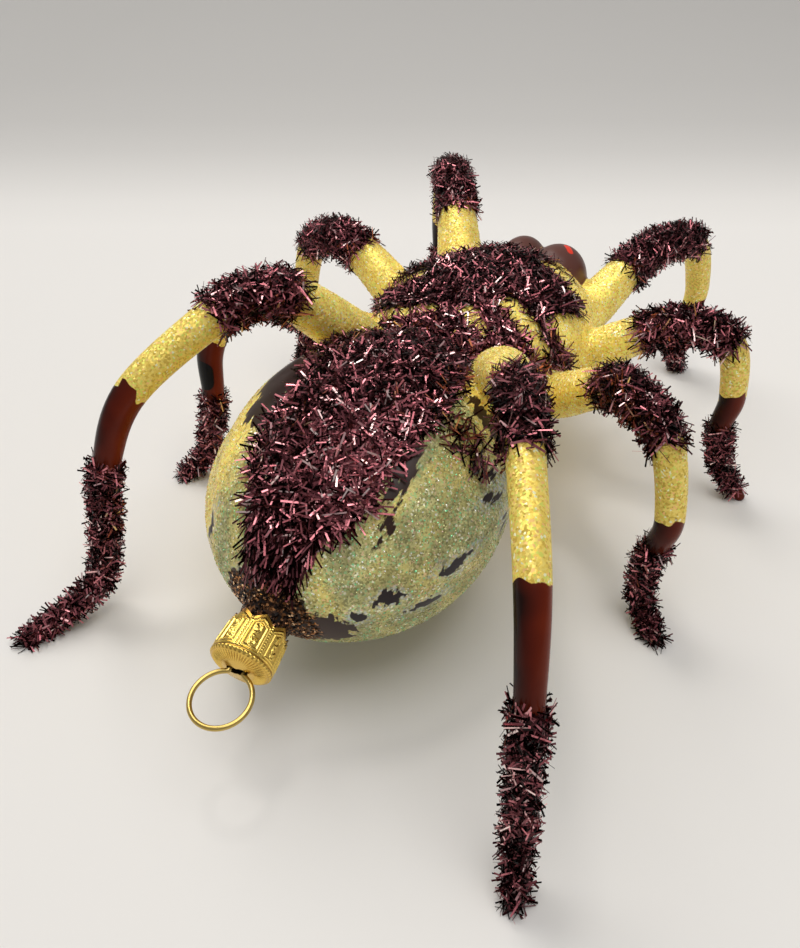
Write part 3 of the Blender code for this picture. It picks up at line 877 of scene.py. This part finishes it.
glitter = {  # flake size in mm, flakes to the square mm, metal and the share of each colour
    "gold": {
        "size": 0.46, "density": 1.5, "metallic": 0.15,
        "tones": ((0.0, (0.8, 0.56, 0.1)), (0.3, (1.0, 0.8, 0.2)), (0.62, (1.0, 0.95, 0.5)),
                  (0.8, (0.6, 0.95, 0.2)), (0.9, (1.0, 0.62, 0.4)), (0.96, (1.0, 1.0, 0.95))),
    },
    "khaki": {
        "size": 0.46, "density": 1.5, "metallic": 0.45,
        "tones": ((0.0, (0.36, 0.36, 0.15)), (0.25, (0.58, 0.57, 0.24)), (0.6, (0.78, 0.76, 0.36)),
                  (0.74, (0.32, 0.9, 0.45)), (0.87, (0.8, 0.58, 0.42)), (0.91, (1.0, 1.0, 0.9))),
    },
    "neck": {
        "size": 0.8, "density": 2.2, "metallic": 0.95,
        "tones": ((0.0, (0.02, 0.01, 0.007)), (0.36, (0.11, 0.05, 0.024)),
                  (0.72, (0.42, 0.2, 0.09)), (0.93, (1.0, 0.65, 0.38))),
    },
}


def flakeFinish(kind):
    look = Finish(kind + "Glitter")
    colour = look.ramp(look.field("tone"), glitter[kind]["tones"], "CONSTANT")
    speckle = look.noise(look.place, 400.0) * 0.3 + 0.85
    return look.set(colour=look.stretch(colour, speckle), roughness=0.2,
                    metallic=glitter[kind]["metallic"])


def growFlakes(body, masks, tree, kind, seed):
    # One piece of loose flakes over the body: gold, khaki or the neck's copper.
    spec = glitter[kind]
    cover = masks[kind]
    source = emitter(body, cover, np.zeros(len(cover)), np.ones(len(cover)))
    piece = scatter(kind + "Flakes", source, tree, flakeFinish(kind), Density=spec["density"],
                    Length=spec["size"], Width=spec["size"], Thickness=spec["size"] * 0.2,
                    Lift=0.12, Lean=math.degrees(0.5), Roll=0.5, Flow=(0.0, 0.0, 0.0), Seed=seed)
    bpy.data.objects.remove(source)
    dressPiece(piece, ())
    print(piece.name, len(piece.data.polygons))


# Legs

legColours = {
    # red-brown to near black, picked by the painted shade across each leg
    "glass": ((0.0, (0.17, 0.02, 0.004)), (0.45, (0.085, 0.009, 0.003)),
              (0.8, (0.012, 0.003, 0.002))),
    "bubble": (0.004, 0.003, 0.003, 1.0),
    "cell": 0.44,
    "glassRoughness": 0.24,
    "specular": 0.12,
}


def legFinish():
    # Golden glitter above the ragged edge, red-brown lacquered glass below it.
    look, spec = Finish("lacqueredLeg"), legColours
    place = look.place
    cell = look.cells(spec["cell"])
    golden = look.ramp(look.channel(cell, 0), goldenCells, "CONSTANT")
    coated = (look.field("coated") * 5.0 + (look.noise(place, 2000.0) - 0.5) * 1.5).clamp()
    # Painted shade: the glass darkens towards one side of each leg.
    shade = (look.field("shade") + (look.noise(place, 120.0) - 0.5) * 0.6).clamp()
    bubble = (look.field("spot") * 3.0).clamp()
    brown = look.blend(bubble, look.ramp(shade, spec["glass"]), spec["bubble"])
    # painted shadow under the sleeves
    under = ((look.field("under") + (look.noise(place, 900.0) - 0.5) * 0.3) * 20.0).clamp()
    colour = look.blend(under, look.blend(coated, brown, golden), underTinsel)
    coated = coated * (1.0 - under)
    shine = look.blendVectors(coated, look.straight(), look.facets(cell, facetTilt))
    rough = spec["glassRoughness"] + coated * (glitterRoughness - spec["glassRoughness"])
    return look.set(colour=colour, roughness=rough, metallic=coated * glitterMetal,
                    normal=look.vector("NORMALIZE", shine), specular=spec["specular"])


windowSide = (-0.88, -0.47, 0.0)  # painted shade: the glass is darker on this side and redder on the other, where light shines through it


def makeLeg(name, spec):
    # A little thinner than the cone that it grows out of, and flat where it stands.
    path = [(point, radius - 0.12) for point, radius in legPath(spec, "kneeStart", "toe", legSteps)]
    points, faces = sweep(path, tubeSides)
    points[:, 2] = np.maximum(points[:, 2], 0.0)
    leg = addMesh("legGlass_" + name, points, faces)
    leg.data.shade_smooth()
    return leg


def paintLeg(leg, spec):
    points = pointsOf(leg)
    stations = dict(zip(legStations, legPoints(spec)))
    edge, before, ankle = (stations[name] for name in ("shinEnd", "kneeEnd", "ankle"))
    wave = np.array([noise.noise(Vector(point) * 0.32) for point in points])
    coated = -((points - edge) @ unit(edge - before)) + wave * 3.0 + spec.get("glitterDrop", 0.0)
    nearKnee = np.linalg.norm(points - stations["kneeTop"], axis=1) < 14.0
    coated = np.where(nearKnee, 10.0, coated)
    # Each ring's place in stations past kneeStart, so that the glass is dark under the sleeves, as
    # painted shadow.
    rings = np.arange(len(points) // tubeSides) - len(capRings)
    ring = np.repeat(rings / legSteps, tubeSides)
    shod = np.minimum(ring - 4.05, 8.0 - spec.get("toeBare", 0.0) * 0.2 - ring)
    under = np.maximum(np.minimum(ring, 1.95 - ring), shod)
    middles = points.reshape(-1, tubeSides, 3).mean(axis=1)
    # painted shade, by how far each point lies towards the window side of its ring
    side = (points - np.repeat(middles, tubeSides, axis=0)) @ np.array(windowSide)
    share, size = spec.get("spot", (0.0, -900.0))
    spot = edge + (ankle - edge) * share + np.array((0.0, -3.3, 0.0)) * spec["girth"]
    down = unit(ankle - edge) * 1.9
    setFields(leg, coated=coated, under=under, shade=np.clip(0.4 + side * 0.14, 0.0, 1.0),
              spot=size - segmentDistance(points, spot - down, spot + down))


# Tinsel

# Strips of cut tinsel, in mm, strips to the square mm and degrees. Calm raises how many are
# dark, as painted shade; the brightest spots lower it around a place, as painted highlights: place,
# reach and drop.
tinsel = {
    "width": 0.42,
    "thickness": 0.08,
    "body": {"Density": 3.8, "Length": 4.4, "Lean": 32.0, "Lift": 1.0},
    "knee": {"Density": 2.2, "Length": 5.0, "Lean": 20.0, "Lift": 0.2},
    "foot": {"Density": 2.7, "Length": 4.0, "Lean": 20.0, "Lift": 0.2},
    "hem": 3,  # rings left bare at each end of a sleeve
    "calm": 1.15,
    "legCalm": 1.1,
    "calmStep": 0.13,
    "paintedLightSpots": (((10.5, -60.0, 57.0), 13.0, 0.76), ((10.0, 12.0, 54.0), 9.0, 0.6),
                  ((0.0, 34.0, 56.0), 18.0, -0.6), ((3.0, -77.0, 45.0), 7.0, -0.8)),
    # the darkest tones paint shade on strips that face away from the light, the palest paint
    # highlights
    "tones": ((0.0, (0.003, 0.001, 0.001)), (0.3, (0.01, 0.002, 0.002)),
              (0.45, (0.11, 0.032, 0.037)), (0.8, (0.29, 0.088, 0.104)),
              (0.93, (0.76, 0.27, 0.3)), (1.0, (1.0, 0.8, 0.76))),
}


def tinselFinish():
    look = Finish("burgundyTinsel")
    # painted shade and highlights through the tone ramp
    colour = look.ramp(look.field("tone"), tinsel["tones"])
    rough = look.noise(look.place, 900.0) * 0.2 + 0.2
    return look.set(colour=colour, roughness=rough, metallic=1.0)


def growStrips(name, source, tree, finish, kind, seed, flow=(0.0, 0.0, 0.0)):
    piece = scatter(name, source, tree, finish, Width=tinsel["width"], Roll=0.6, Flow=flow,
                    Thickness=tinsel["thickness"], Seed=seed, **tinsel[kind])
    bpy.data.objects.remove(source)
    return piece


sleeves = {
    "sides": 24,
    "steps": 8,
    "grow": 0.1,
    "parts": (("knee", "kneeStart", "kneeEnd"), ("foot", "ankle", "toe")),
}


def sleeveSurface(spec, part, start, stop):
    # The surface that the strips of a knee or a foot grow from, with its ends left bare.
    path = legPath(spec, start, stop, sleeves["steps"])
    points, faces = sweep([(point, radius + sleeves["grow"]) for point, radius in path],
                          sleeves["sides"])
    source = addMesh("sleeve", points, faces)
    cover = np.ones(len(points))
    top = spec.get("kneeBare", tinsel["hem"]) if part == "knee" else tinsel["hem"]
    bottom = spec.get("toeBare", tinsel["hem"]) if part == "foot" else tinsel["hem"]
    cover[:sleeves["sides"] * top] = 0.0
    cover[-sleeves["sides"] * bottom:] = 0.0
    # Strips on the right legs are darker, since the window is on the left.
    calm = tinsel["legCalm"] + math.copysign(tinsel["calmStep"], spec["hip"][0])
    setFields(source, cover=cover, combed=np.zeros(len(points)), calm=np.full(len(points), calm))
    return source


# Cap and ring

brasses = {  # raised and hollow colour, roughness
    "goldCap": ((1.0, 0.72, 0.17, 1.0), (0.34, 0.14, 0.015, 1.0), 0.2),
    "brassWire": ((0.62, 0.45, 0.14, 1.0), (0.25, 0.15, 0.04, 1.0), 0.25),
}


def brassFinish(name):
    look = Finish(name)
    colour, dark, roughness = brasses[name]
    hollow = look.field("hollow")
    smudge = look.noise(look.place, 300.0, 3.0)
    tint = look.blend((hollow + (smudge - 0.5) * 0.25).clamp(), colour, dark)
    return look.set(colour=tint, roughness=roughness + smudge * 0.12, metallic=1.0)


cap = {
    "panels": 8, "perPanel": 44, "panelHigh": 8.2, "panelHalf": 2.5,
    "wall": 0.5, "step": 0.8, "rimRadius": 6.2, "shoulderRadius": 6.7, "length": 10.0,
    "dome": 1.1, "notch": 1.6, "hole": (2.35, 1.0), "beads": 44, "pleats": 56,
    "domeRows": 26, "beadRows": 12, "wallRows": 84,
}

scroll = {  # in shares of its frame: half width, length and the weight of the long way
    "frame": (1.9, 7.6, 3.2),
    "strokes": (
        ((-0.3, 0.4), (0.05, 0.3), (0.3, 0.42), (0.26, 0.56), (-0.02, 0.58), (-0.28, 0.66),
         (-0.22, 0.8), (0.06, 0.84)),
        ((-0.2, 0.22), (0.1, 0.2), (0.22, 0.3)),
    ),
    "buds": ((-0.34, 0.3, 0.11), (0.3, 0.74, 0.11), (0.02, 0.13, 0.09), (0.1, 0.46, 0.08)),
    "width": 0.085,
}


def ridge(distance, width):
    return np.exp(-(distance / width) ** 2)


def panelRelief(across, along):
    # Height in mm over one panel; across runs -1 to 1, along runs from the shoulder to the point.
    wide, tall = cap["panelHalf"], cap["panelHigh"]
    x = across * wide
    y = along * tall
    peak = tall - 0.62 * np.abs(x)
    edge = np.minimum(2.1 - np.abs(x), np.minimum(peak - 0.35 - y, y - 0.5))
    high = 0.22 * ridge(edge, 0.17) + 0.2 * ridge(edge - 0.62, 0.13)
    high += 0.08 * np.clip(edge * 3.0, 0.0, 1.0)
    half, length, weight = scroll["frame"]
    flat = np.stack((x / half, y / length * weight), axis=1)
    field = np.full(x.shape, 9.0)
    for stroke in scroll["strokes"]:
        line = [(side, share * weight) for side, share in stroke]
        for start, stop in zip(line, line[1:]):
            field = np.minimum(field, segmentDistance(flat, start, stop))
    inner = np.clip((edge - 0.8) * 4.0, 0.0, 1.0)
    high += 0.24 * ridge(field, scroll["width"]) * inner
    for cx, cy, size in scroll["buds"]:
        away = np.linalg.norm(flat - (cx, cy * weight), axis=1)
        high += 0.26 * ridge(away, size * 1.6) * inner
    rope = np.abs(np.abs(x) - wide)
    beads = 0.5 + 0.5 * np.cos(2.0 * math.pi * y / 0.62)
    high += 0.3 * ridge(rope, 0.2) * (0.35 + 0.65 * beads) * np.clip((y - 0.3) * 4.0, 0.0, 1.0)
    return high


def makeCap():
    spec = cap
    columns = spec["panels"] * spec["perPanel"]
    end = -spec["step"]
    turn = 2.0 * math.pi * np.arange(columns) / columns
    panelTurn = (np.arange(columns) % spec["perPanel"]) / spec["perPanel"] * 2.0 - 1.0
    rim = end + spec["length"] - spec["notch"] * np.abs(panelTurn)
    edge = np.hypot(spec["hole"][0] * np.cos(turn), spec["hole"][1] * np.sin(turn))
    base = spec["shoulderRadius"] - 0.5
    thin = spec["wall"] * 0.7

    def crown(radius):
        return end - spec["dome"] * (1.0 - (radius / base) ** 2) + 0.15

    def side(share):
        return spec["shoulderRadius"] + (spec["rimRadius"] - spec["shoulderRadius"]) * share - 0.1

    rows = []  # radius, distance along the neck, depth of the hollow
    for row in range(spec["domeRows"]):
        share = row / (spec["domeRows"] - 1)
        radius = edge + (base - edge) * share
        pleat = np.cos(spec["pleats"] * turn) * 0.1 * np.clip((radius - 3.2) / 1.5, 0.0, 1.0)
        pleat = pleat * np.clip((base - radius) * 2.0, 0.0, 1.0)
        rows.append((radius, crown(radius) - pleat, 0.4 - pleat * 3.0))
    for row in range(1, spec["beadRows"] + 1):
        share = row / spec["beadRows"]
        bead = 0.5 + 0.5 * np.cos(spec["beads"] * turn)
        swell = 0.3 * math.sin(math.pi * share) * (0.35 + 0.65 * bead)
        radius = base + 0.5 * share + swell
        rows.append((radius, np.full(columns, end + 0.15 + 0.85 * share), 0.7 - 2.0 * swell))
    for row in range(1, spec["wallRows"] + 1):
        share = row / spec["wallRows"]
        bottom = end + 1.0
        distance = bottom + (rim - bottom) * share
        high = panelRelief(panelTurn, (distance - bottom) / spec["panelHigh"])
        high = high * np.clip((1.0 - share) * 40.0 + 0.6, 0.0, 1.0)
        rows.append((side(share) + high, distance, np.clip(0.75 - high * 4.5, 0.0, 1.0)))
    # The plain inside of the wall and of the top
    for share in (1.0, 0.5, 0.0):
        distance = end + 1.2 + (rim - end - 1.2) * share
        rows.append((np.full(columns, side(share) - thin), distance, np.ones(columns)))
    for share in (0.75, 0.35, 0.0):
        radius = edge + (base - 0.5 - edge) * share
        rows.append((radius, crown(radius) + thin, np.ones(columns)))
    points, hollow = [], []
    for radius, distance, depth in rows:
        for index in range(columns):
            angle = turn[index]
            points.append(alongNeck(distance[index], radius[index] * math.cos(angle),
                                    radius[index] * math.sin(angle)))
        hollow.append(np.broadcast_to(depth, (columns,)))
    # The last row, on the inside, joins the first.
    faces = [tuple(corner % len(points) for corner in face)
             for face in gridFaces(len(rows) + 1, columns)]
    piece = addMesh("crownCap", points, faces)
    setFields(piece, hollow=np.concatenate(hollow))
    bm = bmesh.new()
    bm.from_mesh(piece.data)
    bmesh.ops.recalc_face_normals(bm, faces=bm.faces)
    bm.to_mesh(piece.data)
    bm.free()
    piece.data.shade_smooth()
    piece.data.set_sharp_from_angle(angle=math.radians(50.0))
    print("cap", len(piece.data.polygons))
    return piece


ring = {
    "radius": 6.1, "wire": 0.55, "standoff": 7.2,
    "mouthHalf": 1.7, "clipLeg": 8.0, "clipSpread": 2.6,
}


def makeRing():
    spec = ring
    start = math.asin(spec["mouthHalf"] / spec["radius"])
    bend = []
    for step in range(97):
        angle = start + (2.0 * math.pi - 2.0 * start) * step / 96
        bend.append((spec["radius"] * math.sin(angle),
                     spec["radius"] * math.cos(angle) - spec["standoff"]))
    high = bend[0][1]
    tail = [(spec["mouthHalf"], high + 1.0), (spec["mouthHalf"], high + 2.0),
            (spec["clipSpread"], high + spec["clipLeg"])]
    line = tail[::-1] + bend + [(-x, y) for x, y in tail]
    points, faces = sweep([(alongNeck(y - cap["step"], x), spec["wire"]) for x, y in line], 20)
    piece = addMesh("hangerRing", points, faces)
    setFields(piece, hollow=np.full(len(points), 0.15))
    piece.data.shade_smooth()
    return piece


# Putting it together

bpy.context.scene.view_settings.view_transform = "Standard"
makeCamera()
makeStage()
makeLights()
print("stage ready")

strips = scatterTree("tinselStrips", "strip")
flakes = scatterTree("glitterFlakes", "flake")
tinselLook = tinselFinish()

bodyPiece = makeBody()
bodyMasks = paintBody(bodyPiece)
dressPiece(bodyPiece, ("glass_body", "glass_thorax"), glassFinish())
for seed, kind in enumerate(glitter, 3):
    growFlakes(bodyPiece, bodyMasks, flakes, kind, seed)

for index, name in enumerate(("abdomen", "carapace")):
    source = emitter(bodyPiece, bodyMasks[name], bodyMasks["combed"], bodyMasks["calm"])
    coat = growStrips(name + "Tinsel", source, strips, tinselLook, "body", 11 + index,
                      (0.05, -1.0, -0.5))
    dressPiece(coat, (name + "_tinsel",))
    print(name, "tinsel", len(coat.data.polygons))

legLook = legFinish()
for index, (name, spec) in enumerate(legs.items()):
    leg = makeLeg(name, spec)
    paintLeg(leg, spec)
    dressPiece(leg, ("leg_" + name,), legLook)
    for part, start, stop in sleeves["parts"]:
        source = sleeveSurface(spec, part, start, stop)
        sleeve = growStrips(part + "Tinsel_" + name, source, strips, tinselLook, part,
                            31 + index * 2 + (part == "foot"))
        dressPiece(sleeve, (part + "_tinsel_" + name,))
    print("leg", name)

dressPiece(makeCap(), ("cap",), brassFinish("goldCap"))
dressPiece(makeRing(), ("hanger_ring",), brassFinish("brassWire"))
print("cap and ring")
